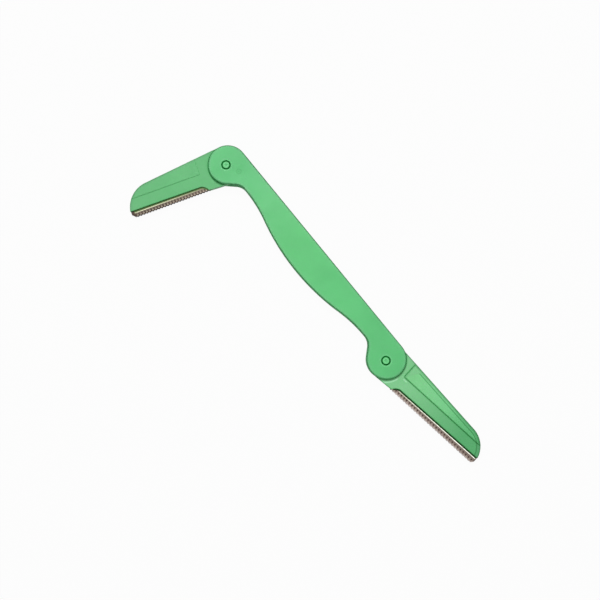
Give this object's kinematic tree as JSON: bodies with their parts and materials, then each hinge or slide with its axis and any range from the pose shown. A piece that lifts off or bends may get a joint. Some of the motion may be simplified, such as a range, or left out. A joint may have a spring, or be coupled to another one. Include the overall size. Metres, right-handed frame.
{
  "type": "folding eyebrow razor",
  "caption": "Flat slotted plastic handle with a hinged steel blade head at each end, one long and one short; both fold edge-first into the slot.",
  "frame": {"origin": "on the handle's flat back face, midway between the two pivots", "axes": "+X along the handle to the long head's pivot, +Y to the straight spine, +Z to the front face"},
  "size_m": [0.159, 0.0489, 0.005],
  "materials": {
    "handle_plastic": "moulded plastic with a soft sheen",
    "pin_plastic": "moulded plastic with a soft sheen",
    "holder_plastic": "moulded plastic with a soft sheen",
    "blade_steel": "ground",
    "guard_steel": "stamped"
  },
  "bodies": {
    "handle_body": {"handle": "handle_plastic", "short_pivot_pin": "pin_plastic", "long_pivot_pin": "pin_plastic"},
    "short_head": {"short_holder_front": "holder_plastic", "short_holder_back": "holder_plastic", "short_blade": "blade_steel", "short_guard": "guard_steel"},
    "long_head": {"long_holder_front": "holder_plastic", "long_holder_back": "holder_plastic", "long_blade": "blade_steel", "long_guard": "guard_steel"}
  },
  "joints": [
    {"name": "short_head_hinge", "type": "hinge", "parent": "handle_body", "child": "short_head", "pos_m": [-0.0475, 0, 0.0025], "axis": [0, 0, 1], "range_deg": [-79.6, 101.9]},
    {"name": "long_head_hinge", "type": "hinge", "parent": "handle_body", "child": "long_head", "pos_m": [0.0475, 0, 0.0025], "axis": [0, 0, 1], "range_deg": [-181.5, 0]}
  ]
}
